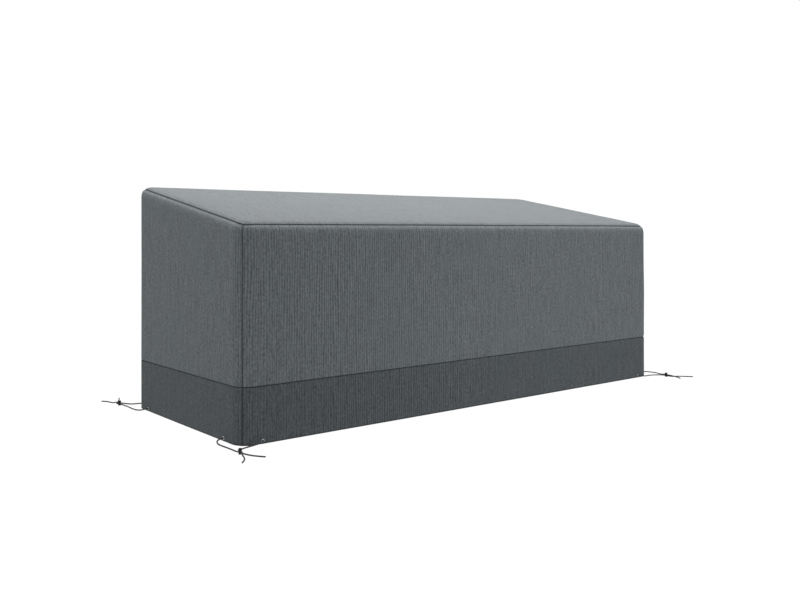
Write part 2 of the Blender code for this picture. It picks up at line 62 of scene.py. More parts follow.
corners = {
    "front_left": (-1, -1),
    "front_right": (1, -1),
    "back_right": (1, 1),
    "back_left": (-1, 1),
}
sides = {  # each runs counter-clockwise, seen from above, from one corner to the next
    "front": ("front_left", "front_right"),
    "right": ("front_right", "back_right"),
    "back": ("back_right", "back_left"),
    "left": ("back_left", "front_left"),
}
outwards = {
    "front": (0, -1, 0),
    "right": (1, 0, 0),
    "back": (0, 1, 0),
    "left": (-1, 0, 0),
}


def deselectAll():
    if bpy.context.object and bpy.context.object.mode != "OBJECT":
        bpy.ops.object.mode_set(mode="OBJECT")
    bpy.ops.object.select_all(action="DESELECT")


def makeActive(piece):
    deselectAll()
    piece.select_set(True)
    bpy.context.view_layer.objects.active = piece


def applyModifiers(piece):
    makeActive(piece)
    for modifier in list(piece.modifiers):
        bpy.ops.object.modifier_apply(modifier=modifier.name)


smoothBelow = {"cloth": 60, "fitting": 35}  # degrees between two faces


def smooth(kind):
    bpy.ops.object.shade_smooth_by_angle(angle=math.radians(smoothBelow[kind]))


def cutOut(piece, cutter, name):
    cut = piece.modifiers.new(name, "BOOLEAN")
    cut.operation = "DIFFERENCE"
    cut.solver = "EXACT"
    cut.object = cutter


def dress(piece, material, slotName, *nodes):
    # One finished piece: its material, its body and the solids it stands for.
    piece.data.materials.clear()
    piece.data.materials.append(material)
    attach(piece, "root")
    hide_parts(*nodes)


# The photo's camera: low, off the cover's front-left corner.
view = {
    "place": (-2.5028, -2.9593, 0.7122),
    "heading": -39.091,  # degrees from the cover's depth direction
    "lens": 39.136,
    "shift": -0.08775,
}


def makeCamera():
    level = (math.pi / 2, 0, math.radians(view["heading"]))
    bpy.ops.object.camera_add(location=view["place"], rotation=level)
    camera = bpy.context.object
    camera.name = "camera"
    camera.data.lens = view["lens"]
    camera.data.shift_y = view["shift"]
    bpy.context.scene.camera = camera


makeCamera()
print("camera placed")


def feed(tree, node, values):
    # Each input, by its name or number, takes another node's output or a plain value.
    for key, value in values.items():
        if isinstance(value, bpy.types.NodeSocket):
            tree.links.new(value, node.inputs[key])
        else:
            node.inputs[key].default_value = value


def addNode(tree, kind, settings=None, **inputs):
    # Inputs go by name, or by number as i0, i1 and so on.
    node = tree.nodes.new(kind)
    for key, value in (settings or {}).items():
        setattr(node, key, value)
    for key, value in inputs.items():
        numbered = key[0] == "i" and key[1:].isdigit()
        feed(tree, node, {int(key[1:]) if numbered else key: value})
    return node


def maths(tree, operation, first, second=0.0, third=0.0):
    node = addNode(tree, "ShaderNodeMath", {"operation": operation}, i0=first, i1=second, i2=third)
    return node.outputs[0]


def noiseOn(tree, place, scale, detail):
    return addNode(tree, "ShaderNodeTexNoise", Vector=place, Scale=scale, Detail=detail).outputs["Fac"]


def between(tree, value, edges, low, high):
    # Low up to the first edge, high from the second one on, and even in between.
    node = addNode(tree, "ShaderNodeMapRange", i0=value, i1=edges[0], i2=edges[1], i3=low, i4=high)
    return node.outputs[0]


def mixColours(tree, share, first, second, blend="MIX"):
    settings = {"data_type": "RGBA", "blend_type": blend}
    return addNode(tree, "ShaderNodeMix", settings, i0=share, i6=first, i7=second).outputs[2]


def mixLook(tree, share, look):
    return mixColours(tree, share, (*look["dark"], 1), (*look["light"], 1))


def bumpFrom(tree, height, look):
    node = addNode(tree, "ShaderNodeBump", Height=height, Strength=look["bump"], Distance=look["relief"])
    return node.outputs[0]


def newMaterial(name):
    material = bpy.data.materials.new(name)
    material.use_nodes = True
    return material, material.node_tree, material.node_tree.nodes["Principled BSDF"]


upperLook = {
    "dark": (0.041, 0.046, 0.049),  # the weave's two yarns
    "light": (0.124, 0.137, 0.145),
    "tint": (0.075, 0.092, 0.094),  # faint blue-green patches
}
topLook = {  # the same cloth, which looks plainer in the light from above
    "dark": (0.044, 0.049, 0.051),
    "light": (0.119, 0.131, 0.139),
    "tint": (0.078, 0.093, 0.095),
}
skirtLook = {
    "dark": (0.0235, 0.0272, 0.030),
    "light": (0.080, 0.0885, 0.095),
    "tint": (0.045, 0.056, 0.058),
}
# How often each kind of unevenness comes in a metre, across and along the ribs, and how strong it is.
weaveNoise = {
    "streak": {"perMetre": (130.0, 16.0), "strength": 0.52, "detail": 1.0, "seed": 3.1},  # thin slubs
    "stripe": {"perMetre": (50.0, 5.0), "strength": 0.30, "detail": 2.0, "seed": 11.7},
    "grain": {"perMetre": (120.0, 95.0), "strength": 1.08, "detail": 2.0, "seed": 7.3},
    "wander": {"perMetre": (24.0, 3.0), "strength": 1.4, "detail": 1.0, "seed": 5.9},  # ribs' drift
}
weave = {
    "noiseRoughness": 0.62,
    "ribPitch": 0.0100,
    "ribStrength": (0.06, 0.27),  # from the plainest places to the most ribbed
    "ribPatch": 1.2,
    "ribPatchPlace": (137.0, 95.8, 178.0),
    "ribPatchEdges": (0.38, 0.62),
    "yarnPitch": 0.0013,
    "yarnStrength": 0.08,
    "tintPatch": 3.2,
    "tintEdges": (0.48, 0.72),
    "tintMost": 0.35,
    # Painted shade: the most the seamShade attribute darkens the cloth.
    "seamShade": 0.85,  # how much darker the cloth can get inside a seam
    "roughness": 0.84,
    "roughnessSpread": 0.12,
    "sheen": 0.02,
    "sheenRoughness": 0.5,
    "gloss": 0.18,
    "bump": 0.8,
    "relief": 0.0004,
    "fineRelief": 0.8,  # shares of the relief
    "ribRelief": 0.30,
    "yarnRelief": 0.25,
}


def stretchedNoise(tree, cloth, kind):
    look = weaveNoise[kind]
    seed = look["seed"]
    scaled = addNode(tree, "ShaderNodeMapping", Vector=cloth, Scale=(*look["perMetre"], 1.0),
                     Location=(seed, seed * 0.7, seed * 1.3)).outputs[0]
    return addNode(tree, "ShaderNodeTexNoise", {"noise_dimensions": "2D"}, Vector=scaled, Scale=1.0,
                   Detail=look["detail"], Roughness=weave["noiseRoughness"]).outputs["Fac"]


def clothMaterial(name, look):
    # Ribbed, linen-like weave. It reads the flat cut's own map, which is in metres.
    material, tree, shader = newMaterial(name)
    cloth = addNode(tree, "ShaderNodeUVMap", {"uv_map": "cut"}).outputs[0]
    place = addNode(tree, "ShaderNodeTexCoord").outputs["Object"]
    split = addNode(tree, "ShaderNodeSeparateXYZ", Vector=cloth)
    across = split.outputs[0]
    along = split.outputs[1]
    uneven = {kind: stretchedNoise(tree, cloth, kind) for kind in weaveNoise}

    turn = maths(tree, "MULTIPLY", across, 2 * math.pi / weave["ribPitch"])
    drift = 2 * math.pi * weaveNoise["wander"]["strength"]
    rib = maths(tree, "SINE", maths(tree, "MULTIPLY_ADD", uneven["wander"], drift, turn))
    warp = maths(tree, "SINE", maths(tree, "MULTIPLY", across, 2 * math.pi / weave["yarnPitch"]))
    weft = maths(tree, "SINE", maths(tree, "MULTIPLY", along, 2 * math.pi / weave["yarnPitch"]))
    yarns = maths(tree, "MULTIPLY", warp, weft)

    # How light the yarn is, from the ribs, the weave and the streaks.
    moved = addNode(tree, "ShaderNodeMapping", Vector=place, Scale=(weave["ribPatch"],) * 3,
                    Location=weave["ribPatchPlace"]).outputs[0]
    ribbed = noiseOn(tree, moved, 1.0, 1.0)
    boldness = between(tree, ribbed, weave["ribPatchEdges"], *weave["ribStrength"])
    shade = maths(tree, "MULTIPLY_ADD", rib, boldness, 0.5)
    shade = maths(tree, "MULTIPLY_ADD", yarns, weave["yarnStrength"], shade)
    for kind in ("streak", "stripe", "grain"):
        offMiddle = maths(tree, "SUBTRACT", uneven[kind], 0.5)
        shade = maths(tree, "MULTIPLY_ADD", offMiddle, weaveNoise[kind]["strength"], shade)
    shade = addNode(tree, "ShaderNodeClamp", Value=shade).outputs[0]
    patches = noiseOn(tree, place, weave["tintPatch"], 2.0)
    tintShare = between(tree, patches, weave["tintEdges"], 0.0, weave["tintMost"])
    tinted = mixColours(tree, tintShare, mixLook(tree, shade, look), (*look["tint"], 1))
    # Painted shade and painted highlight: the seamShade attribute darkens the base colour at the seams, the
    # hem's fold and the top's rolled edge, and lightens it along the welt where it is negative.
    seam = addNode(tree, "ShaderNodeAttribute", {"attribute_name": "seamShade"}).outputs["Fac"]
    lit = maths(tree, "MULTIPLY_ADD", seam, -weave["seamShade"], 1.0)

    fine = maths(tree, "MULTIPLY_ADD", uneven["streak"], 0.5, maths(tree, "MULTIPLY", uneven["grain"], 0.5))
    height = maths(tree, "MULTIPLY", rib, weave["ribRelief"])
    height = maths(tree, "MULTIPLY_ADD", fine, weave["fineRelief"], height)
    height = maths(tree, "MULTIPLY_ADD", yarns, weave["yarnRelief"], height)
    feed(tree, shader, {
        "Base Color": mixColours(tree, 1.0, tinted, lit, "MULTIPLY"),
        "Normal": bumpFrom(tree, height, weave),
        "Roughness": maths(tree, "MULTIPLY_ADD", fine, weave["roughnessSpread"], weave["roughness"]),
        "Specular IOR Level": weave["gloss"],
        "Sheen Weight": weave["sheen"],
        "Sheen Roughness": weave["sheenRoughness"],
    })
    return material


yarnLook = {
    "dark": (0.013, 0.014, 0.015),
    "light": (0.055, 0.057, 0.058),
    "strands": 6,
    "pitch": 0.0060,
    "crossing": 0.35,  # how much the strands' crossings show beside the fibres
    "fibres": 900.0,
    "bump": 0.6,
    "relief": 0.0003,
    "roughness": 0.85,
    "gloss": 0.2,
    "sheen": 0.05,
}


def drawcordMaterial():
    # The map runs along the cord in metres and once round it.
    material, tree, shader = newMaterial("drawcordBraid")
    wound = addNode(tree, "ShaderNodeUVMap", {"uv_map": "wound"}).outputs[0]
    split = addNode(tree, "ShaderNodeSeparateXYZ", Vector=wound)
    along = maths(tree, "MULTIPLY", split.outputs[0], 2 * math.pi / yarnLook["pitch"])
    rounds = maths(tree, "MULTIPLY", split.outputs[1], math.pi * yarnLook["strands"])
    oneWay = maths(tree, "SINE", maths(tree, "ADD", along, rounds))
    otherWay = maths(tree, "SINE", maths(tree, "SUBTRACT", along, rounds))
    crossing = maths(tree, "MULTIPLY", oneWay, otherWay)
    fibres = noiseOn(tree, wound, yarnLook["fibres"], 2.0)
    shade = maths(tree, "MULTIPLY_ADD", crossing, yarnLook["crossing"], fibres)
    shadeClamped = addNode(tree, "ShaderNodeClamp", Value=shade).outputs[0]
    feed(tree, shader, {
        "Base Color": mixLook(tree, shadeClamped, yarnLook),
        "Normal": bumpFrom(tree, shade, yarnLook),
        "Roughness": yarnLook["roughness"],
        "Specular IOR Level": yarnLook["gloss"],
        "Sheen Weight": yarnLook["sheen"],
    })
    return material


plasticLook = {
    "dark": (0.003, 0.003, 0.004),
    "light": (0.008, 0.008, 0.009),
    "grain": 2600.0,
    "wear": 260.0,
    "roughness": 0.4,
    "roughnessSpread": 0.2,
    "gloss": 0.12,
    "bump": 0.25,
    "relief": 0.0001,
}


def plasticMaterial():
    material, tree, shader = newMaterial("lockPlastic")
    place = addNode(tree, "ShaderNodeTexCoord").outputs["Object"]
    grain = noiseOn(tree, place, plasticLook["grain"], 2.0)
    wear = noiseOn(tree, place, plasticLook["wear"], 3.0)
    spread = plasticLook["roughnessSpread"]
    feed(tree, shader, {
        "Base Color": mixLook(tree, wear, plasticLook),
        "Normal": bumpFrom(tree, grain, plasticLook),
        "Roughness": maths(tree, "MULTIPLY_ADD", wear, spread, plasticLook["roughness"]),
        "Specular IOR Level": plasticLook["gloss"],
    })
    return material


nickelLook = {
    "dark": (0.24, 0.24, 0.24),
    "light": (0.46, 0.46, 0.455),
    "tarnish": 420.0,
    "scratches": 3200.0,
    "roughness": 0.22,
    "roughnessSpread": 0.25,
    "bump": 0.15,
    "relief": 0.00005,
}


def nickelMaterial():
    material, tree, shader = newMaterial("eyeletNickel")
    place = addNode(tree, "ShaderNodeTexCoord").outputs["Object"]
    tarnish = noiseOn(tree, place, nickelLook["tarnish"], 4.0)
    scratches = noiseOn(tree, place, nickelLook["scratches"], 2.0)
    spread = nickelLook["roughnessSpread"]
    feed(tree, shader, {
        "Base Color": mixLook(tree, tarnish, nickelLook),
        "Metallic": 1.0,
        "Normal": bumpFrom(tree, scratches, nickelLook),
        "Roughness": maths(tree, "MULTIPLY_ADD", scratches, spread, nickelLook["roughness"]),
    })
    return material


upperCloth = clothMaterial("upperCloth", upperLook)
topCloth = clothMaterial("topCloth", topLook)
skirtCloth = clothMaterial("skirtCloth", skirtLook)
braid = drawcordMaterial()
lockPlastic = plasticMaterial()
eyeletNickel = nickelMaterial()
print("materials made")


lockShape = {
    "flangeRadius": 0.0060,
    "waistRadius": 0.0048,
    "height": 0.0150,
    "edge": 0.0006,
    "rim": 0.00025,
    "rimAngle": 40,
    "buttonRadius": 0.0057,
    "buttonTop": 0.0190,
    "buttonEdge": 0.0008,
    "cordHeights": (0.0050, 0.0104),  # cord centres inside the lock
    "slotWidth": 0.0064,
    "slotLength": 0.03,
    # each flange's way in to the waist: place beyond the waist, and along the lock
    "shoulder": ((0.0003, 0.0009), (0.0, 0.0014)),
    "buttonGap": 0.0003,
    # the button's shallow dish for the thumb: place in from its side, and down from its top
    "dish": ((0.0016, 0.0), (0.0022, 0.0004)),
    "dishDepth": 0.0006,
}
# Where each lock lies, beyond the end wall and beyond the front or back wall, and its slot's direction.
lockPlaces = {
    "front_left": {"at": (0.0390, 0.0705), "slot": (0.0, 1.0)},
    "front_right": {"at": (0.0430, 0.0705), "slot": (-0.15, 0.989)},
    "back_left": {"at": (0.0430, 0.0705), "slot": (0.30, 0.954)},
    "back_right": {"at": (0.0430, 0.0705), "slot": (0.30, 0.954)},
}


def cornerPoint(corner, out, fore, height):
    # A place measured outwards from a corner's two wall faces.
    signX, signY = corners[corner]
    return Vector((signX * (cover["halfLength"] + out), signY * (cover["halfDepth"] + fore), height))


def turnOutline(name, outline, steps=48):
    # Spins a (radius, height) outline about Z into one closed piece.
    deselectAll()
    bpy.ops.mesh.primitive_circle_add(vertices=3, radius=0.01)
    piece = bpy.context.object
    piece.name = piece.data.name = name
    piece.data.clear_geometry()
    closed = outline[0][0] > 0
    edges = [(step, step + 1) for step in range(len(outline) - 1)]
    edges += [(len(outline) - 1, 0)] if closed else []
    piece.data.from_pydata([(radius, 0, height) for radius, height in outline], edges, [])
    bpy.ops.object.mode_set(mode="EDIT")
    bpy.ops.mesh.select_all(action="SELECT")
    bpy.ops.mesh.spin(steps=steps, angle=2 * math.pi, center=(0, 0, 0), axis=(0, 0, 1))
    bpy.ops.mesh.select_all(action="SELECT")
    bpy.ops.mesh.remove_doubles(threshold=0.00001)
    bpy.ops.mesh.normals_make_consistent(inside=False)
    bpy.ops.object.mode_set(mode="OBJECT")
    return piece


def arcPoints(centre, radius, start, end, steps):
    turns = [math.radians(start + (end - start) * step / steps) for step in range(steps + 1)]
    return [(centre[0] + radius * math.cos(t), centre[1] + radius * math.sin(t)) for t in turns]


def makeLockBody():
    flange = lockShape["flangeRadius"]
    waist = lockShape["waistRadius"]
    top = lockShape["height"]
    edge = lockShape["edge"]
    low = lockShape["cordHeights"][0]
    high = lockShape["cordHeights"][1]
    foot = low - lockShape["slotWidth"] / 2
    head = high + lockShape["slotWidth"] / 2
    shoulder = lockShape["shoulder"]
    outline = [(0, 0)] + arcPoints((flange - edge, edge), edge, -90, 0, 4)
    outline += [(flange, foot)] + [(waist + out, foot + up) for out, up in shoulder]
    outline += [(waist + out, head - up) for out, up in reversed(shoulder)] + [(flange, head)]
    outline += arcPoints((flange - edge, top - edge), edge, 0, 90, 4)
    outline += [(0, top)]
    lock = turnOutline("lockBody", outline)

    bpy.ops.mesh.primitive_cube_add(size=1, location=(0, 0, (low + high) / 2))
    slot = bpy.context.object
    slot.scale = (lockShape["slotLength"], lockShape["slotWidth"], high - low + lockShape["slotWidth"])
    bpy.ops.object.transform_apply(location=True, rotation=False, scale=True)
    bpy.ops.object.mode_set(mode="EDIT")
    bpy.ops.mesh.select_all(action="DESELECT")
    bpy.ops.object.mode_set(mode="OBJECT")
    for edgeOfSlot in slot.data.edges:  # its long edges, to round the slot's top and foot
        ends = [slot.data.vertices[v].co for v in edgeOfSlot.vertices]
        edgeOfSlot.select = abs(ends[0].x - ends[1].x) > lockShape["slotLength"] / 3
    bpy.ops.object.mode_set(mode="EDIT")
    bpy.ops.mesh.bevel(offset=lockShape["slotWidth"] * 0.499, segments=8, affect="EDGES")
    bpy.ops.object.mode_set(mode="OBJECT")

    cutOut(lock, slot, "slot")
    rim = lock.modifiers.new("rim", "BEVEL")
    rim.width = lockShape["rim"]
    rim.segments = 2
    rim.limit_method = "ANGLE"
    rim.angle_limit = math.radians(lockShape["rimAngle"])
    applyModifiers(lock)
    bpy.data.objects.remove(slot)
    return lock


def makeButton():
    radius = lockShape["buttonRadius"]
    top = lockShape["buttonTop"]
    foot = lockShape["height"] + lockShape["buttonGap"]
    edge = lockShape["buttonEdge"]
    outline = [(0, foot), (radius, foot)] + arcPoints((radius - edge, top - edge), edge, 0, 90, 5)
    outline += [(radius - inwards, top - down) for inwards, down in lockShape["dish"]]
    outline += [(0, top - lockShape["dishDepth"])]
    return turnOutline("lockButton", outline)


def copyTo(piece, name, matrix):
    double = piece.copy()
    double.data = piece.data.copy()
    double.data.transform(matrix)
    bpy.context.collection.objects.link(double)
    double.name = double.data.name = name
    makeActive(double)
    smooth("fitting")
    return double


def makeLocks():
    made = {}
    patterns = {"lock": makeLockBody(), "button": makeButton()}
    for corner, (signX, signY) in corners.items():
        out, fore = lockPlaces[corner]["slot"]
        turn = Matrix.Rotation(math.atan2(signY * fore, signX * out), 4, "Z")
        place = Matrix.Translation(cornerPoint(corner, *lockPlaces[corner]["at"], 0)) @ turn
        for kind, pattern in patterns.items():
            node = kind + "_" + corner
            piece = copyTo(pattern, "visible_" + node, place)
            dress(piece, lockPlastic, "lock_plastic", node)
            made[node] = piece
    for pattern in patterns.values():
        bpy.data.objects.remove(pattern)
    return made


locks = makeLocks()
print("cord locks made")


# Where the eyelets sit in the hem: from the corner, along an end wall or a long side.
eyeletPlaces = {"end": 0.115, "side": 0.084, "height": 0.011}


def eyeletAt(corner, kind, out=0.0):
    # The middle of an eyelet, or a point straight out from it.
    if kind == "end":
        return cornerPoint(corner, out, -eyeletPlaces["end"], eyeletPlaces["height"])
    return cornerPoint(corner, -eyeletPlaces["side"], out, eyeletPlaces["height"])


drawcord = {
    "diameter": 0.0050,
    "insideHem": 0.0080,  # where the made stretch starts, behind its eyelet
    "ringSpacing": 0.0010,
    "sides": 20,
    "braidRelief": 0.03,  # share of the radius
    "sealedTip": (0.55, 0.82, 0.95),  # shares of the radius at a heat-sealed end
    "curveSteps": 8,
}
# Routes of the free stretches, from just outside the eyelet to the free end. Columns:
# beyond the end wall's face, beyond the front or back wall's face, height where it is off the floor.
cordRoutes = {
    "cord_front_left_end": (
        (0.0090, -0.1148, 0.0108),
        (0.0180, -0.1125, 0.0097), (0.0260, -0.1075, 0.0079), (0.0320, -0.1000, 0.0059),
        (0.0360, -0.0900, 0.0042), (0.0380, -0.0780, 0.0029), (0.0386, -0.0640),
        (0.0380, -0.0450), (0.0370, -0.0220), (0.0364, 0.0000),
        (0.0366, 0.0200, 0.0026), (0.0374, 0.0370, 0.0031), (0.0384, 0.0510, 0.0043),
        (0.0390, 0.0646, 0.0050), (0.0390, 0.0705, 0.0050), (0.0388, 0.0764, 0.0050),
        (0.0362, 0.0855, 0.0047), (0.0320, 0.0955, 0.0038), (0.0272, 0.1062, 0.0030),
        (0.0220, 0.1170, 0.0026), (0.0160, 0.1285), (0.0095, 0.1392),
        (0.0030, 0.1487), (-0.0032, 0.1572),
    ),
    "cord_front_left_side": (
        (-0.0828, 0.0068, 0.0108),
        (-0.0785, 0.0122, 0.0102), (-0.0718, 0.0145, 0.0090), (-0.0630, 0.0142, 0.0074),
        (-0.0520, 0.0125, 0.0055), (-0.0390, 0.0120, 0.0038), (-0.0260, 0.0142, 0.0033),
        (-0.0130, 0.0212, 0.0042), (-0.0015, 0.0302, 0.0062), (0.0090, 0.0395, 0.0077),
        (0.0190, 0.0462, 0.0094), (0.0278, 0.0502, 0.0102), (0.0346, 0.0540, 0.0104),
        (0.0382, 0.0592, 0.0104), (0.0390, 0.0646, 0.0104), (0.0390, 0.0705, 0.0104),
        (0.0390, 0.0764, 0.0104), (0.0402, 0.0845, 0.0100), (0.0438, 0.0925, 0.0085),
        (0.0478, 0.1005, 0.0067), (0.0506, 0.1095, 0.0049), (0.0534, 0.1200, 0.0034),
        (0.0573, 0.1305, 0.0026), (0.0617, 0.1398), (0.0667, 0.1478),
        (0.0724, 0.1553), (0.0803, 0.1642), (0.0886, 0.1731),
    ),
    "cord_front_right_end": (
        (0.0110, -0.1148, 0.0107),
        (0.0230, -0.1130, 0.0095), (0.0350, -0.1090, 0.0075), (0.0465, -0.1035, 0.0054),
        (0.0575, -0.0960, 0.0036), (0.0680, -0.0865), (0.0775, -0.0745),
        (0.0850, -0.0590), (0.0885, -0.0410), (0.0880, -0.0220),
        (0.0835, -0.0030), (0.0765, 0.0150, 0.0026), (0.0680, 0.0310, 0.0042),
        (0.0592, 0.0440, 0.0068), (0.0512, 0.0542, 0.0090), (0.0452, 0.0625, 0.0103),
        (0.0430, 0.0705, 0.0104), (0.0421, 0.0764, 0.0104), (0.0428, 0.0860, 0.0097),
        (0.0460, 0.0965, 0.0084), (0.0505, 0.1070, 0.0062), (0.0540, 0.1180, 0.0038),
        (0.0540, 0.1290), (0.0490, 0.1390), (0.0405, 0.1480),
        (0.0303, 0.1554),
    ),
    "cord_front_right_side": (
        (-0.0828, 0.0068, 0.0108),
        (-0.0785, 0.0122, 0.0102), (-0.0715, 0.0142, 0.0089), (-0.0620, 0.0132, 0.0071),
        (-0.0500, 0.0105, 0.0050), (-0.0360, 0.0080, 0.0036), (-0.0210, 0.0060, 0.0027),
        (-0.0060, 0.0055), (0.0090, 0.0075), (0.0235, 0.0135, 0.0026),
        (0.0360, 0.0235, 0.0028), (0.0440, 0.0360, 0.0036), (0.0462, 0.0480, 0.0045),
        (0.0448, 0.0590, 0.0051), (0.0437, 0.0655, 0.0050), (0.0430, 0.0705, 0.0050),
        (0.0421, 0.0764, 0.0050), (0.0438, 0.0850, 0.0045), (0.0512, 0.0930, 0.0034),
        (0.0620, 0.0990), (0.0745, 0.1050), (0.0870, 0.1140),
        (0.0985, 0.1260), (0.1100, 0.1400), (0.1200, 0.1520),
        (0.1288, 0.1626),
    ),
    "cord_back_left_end": (
        (0.0085, -0.1142, 0.0105),
        (0.0158, -0.1108, 0.0090), (0.0215, -0.1045, 0.0068), (0.0258, -0.0945, 0.0048),
        (0.0290, -0.0815, 0.0033), (0.0315, -0.0655), (0.0330, -0.0460),
        (0.0332, -0.0240), (0.0322, -0.0020), (0.0318, 0.0180),
        (0.0332, 0.0360, 0.0027), (0.0365, 0.0510, 0.0040), (0.0408, 0.0636, 0.0051),
        (0.0430, 0.0705, 0.0050), (0.0448, 0.0762, 0.0050), (0.0460, 0.0850, 0.0047),
        (0.0440, 0.0960, 0.0041), (0.0390, 0.1085, 0.0031), (0.0320, 0.1220, 0.0026),
        (0.0235, 0.1370), (0.0145, 0.1540), (0.0060, 0.1730),
        (-0.0015, 0.1900), (-0.0080, 0.2040),
    ),
    "cord_back_left_side": (
        (-0.0834, 0.0080, 0.0107),
        (-0.0805, 0.0155, 0.0097), (-0.0750, 0.0225, 0.0080), (-0.0670, 0.0295, 0.0058),
        (-0.0570, 0.0360, 0.0038), (-0.0450, 0.0412, 0.0026), (-0.0300, 0.0450),
        (-0.0145, 0.0475, 0.0026), (0.0000, 0.0488, 0.0033), (0.0130, 0.0498, 0.0053),
        (0.0245, 0.0515, 0.0078), (0.0340, 0.0558, 0.0095), (0.0400, 0.0632, 0.0104),
        (0.0430, 0.0705, 0.0104), (0.0448, 0.0762, 0.0104), (0.0468, 0.0860, 0.0101),
        (0.0482, 0.0980, 0.0085), (0.0495, 0.1110, 0.0054), (0.0510, 0.1250, 0.0033),
        (0.0528, 0.1400, 0.0026), (0.0555, 0.1550), (0.0610, 0.1690),
        (0.0680, 0.1800), (0.0740, 0.1880),
    ),
    "cord_back_right_end": (
        (0.0090, -0.1145, 0.0107),
        (0.0175, -0.1118, 0.0094), (0.0248, -0.1062, 0.0073), (0.0305, -0.0975, 0.0053),
        (0.0345, -0.0855, 0.0036), (0.0370, -0.0700, 0.0026), (0.0378, -0.0510),
        (0.0372, -0.0290), (0.0358, -0.0070), (0.0348, 0.0140),
        (0.0352, 0.0330, 0.0027), (0.0372, 0.0490, 0.0040), (0.0408, 0.0636, 0.0051),
        (0.0430, 0.0705, 0.0050), (0.0448, 0.0762, 0.0050), (0.0464, 0.0850, 0.0048),
        (0.0452, 0.0960, 0.0038), (0.0405, 0.1075, 0.0028), (0.0330, 0.1190),
        (0.0240, 0.1310), (0.0150, 0.1445), (0.0080, 0.1590),
        (0.0030, 0.1730),
    ),
    "cord_back_right_side": (
        (-0.0832, 0.0075, 0.0107),
        (-0.0798, 0.0142, 0.0098), (-0.0735, 0.0198, 0.0082), (-0.0645, 0.0248, 0.0062),
        (-0.0535, 0.0295, 0.0042), (-0.0410, 0.0335, 0.0028), (-0.0270, 0.0370),
        (-0.0130, 0.0400, 0.0026), (0.0010, 0.0432, 0.0033), (0.0138, 0.0468, 0.0053),
        (0.0250, 0.0510, 0.0078), (0.0340, 0.0565, 0.0095), (0.0400, 0.0636, 0.0104),
        (0.0430, 0.0705, 0.0104), (0.0448, 0.0762, 0.0104), (0.0480, 0.0855, 0.0101),
        (0.0524, 0.0960, 0.0081), (0.0572, 0.1070, 0.0051), (0.0632, 0.1180, 0.0032),
        (0.0702, 0.1290, 0.0026), (0.0785, 0.1390), (0.0880, 0.1475),
        (0.0985, 0.1545),
    ),
}


def smoothPath(points, spacing):
    # A smooth curve through the route's own points, read at even steps.
    fine = []
    last = len(points) - 1
    for index in range(last):
        here = points[index]
        there = points[index + 1]
        pullOut = (there - points[max(index - 1, 0)]) / 6
        pullIn = (points[min(index + 2, last)] - here) / 6
        arc = interpolate_bezier(here, here + pullOut, there - pullIn, there, drawcord["curveSteps"] + 1)
        fine.extend(arc[:-1])
    fine.append(points[last])
    walked = [0.0]
    for here, there in zip(fine, fine[1:]):
        walked.append(walked[-1] + (there - here).length)
    count = round(walked[-1] / spacing)
    index = 0
    even = [fine[0]]
    for step in range(1, count):
        target = walked[-1] * step / count
        while walked[index + 1] < target:
            index += 1
        share = (target - walked[index]) / (walked[index + 1] - walked[index])
        even.append(fine[index].lerp(fine[index + 1], share))
    return even + [fine[-1]]


def braidRings(path):
    # The points of every ring round the path, with the braid's relief and the sealed ends.
    radius = drawcord["diameter"] / 2
    count = drawcord["sides"]
    last = len(path) - 1
    aside = Vector((0, 0, 1))
    points = []
    walked = 0.0
    for index, point in enumerate(path):
        ahead = (path[min(index + 1, last)] - path[max(index - 1, 0)]).normalized()
        aside = (aside - ahead * aside.dot(ahead)).normalized()
        beside = ahead.cross(aside)
        if index:
            walked += (point - path[index - 1]).length
        fromEnd = min(index, last - index)
        sealed = drawcord["sealedTip"][fromEnd] if fromEnd < len(drawcord["sealedTip"]) else 1.0
        along = 2 * math.pi * walked / yarnLook["pitch"]
        for side in range(count):
            turn = 2 * math.pi * side / count
            rounds = turn * yarnLook["strands"] / 2
            braided = 1 + drawcord["braidRelief"] * math.sin(along + rounds) * math.sin(along - rounds)
            reach = radius * braided * sealed
            points.append(point + (aside * math.cos(turn) + beside * math.sin(turn)) * reach)
    return points


def braidFaces(rings):
    # The faces from ring to ring and over both ends, with their places on the wound map.
    count = drawcord["sides"]
    spacing = drawcord["ringSpacing"]
    faces = []
    woundMap = []
    for index in range(rings - 1):
        near = index * count
        far = near + count
        along = index * spacing
        onward = along + spacing
        for side in range(count):
            across = (side + 1) % count
            faces.append((near + side, near + across, far + across, far + side))
            woundMap += [(along, side / count), (along, (side + 1) / count)]
            woundMap += [(onward, (side + 1) / count), (onward, side / count)]
    for ring, step in ((0, -1), (rings - 1, 1)):
        faces.append([ring * count + side for side in range(count)][::step])
        woundMap += [(ring * spacing, side / count) for side in range(count)][::step]
    return faces, woundMap


def makeDrawcord(node):
    corner, kind = node.removeprefix("cord_").rsplit("_", 1)
    radius = drawcord["diameter"] / 2
    route = [eyeletAt(corner, kind, -drawcord["insideHem"]), eyeletAt(corner, kind)]
    for out, fore, *height in cordRoutes[node]:
        route.append(cornerPoint(corner, out, fore, height[0] if height else radius))
    path = smoothPath(route, drawcord["ringSpacing"])
    for point in path:
        point.z = max(point.z, radius * (1 + drawcord["braidRelief"]))  # it lies on the floor
    faces, woundMap = braidFaces(len(path))
    mesh = bpy.data.meshes.new(node)
    mesh.from_pydata(braidRings(path), [], faces)
    layer = mesh.uv_layers.new(name="wound")
    for spot, place in zip(layer.data, woundMap):
        spot.uv = place
    piece = bpy.data.objects.new("visible_" + node, mesh)
    bpy.context.collection.objects.link(piece)
    makeActive(piece)
    bpy.ops.object.mode_set(mode="EDIT")
    bpy.ops.mesh.select_all(action="SELECT")
    bpy.ops.mesh.normals_make_consistent(inside=False)
    bpy.ops.object.mode_set(mode="OBJECT")
    smooth("cloth")
    dress(piece, braid, "drawcord", node)


for node in cordRoutes:
    makeDrawcord(node)
print("drawcords laid")


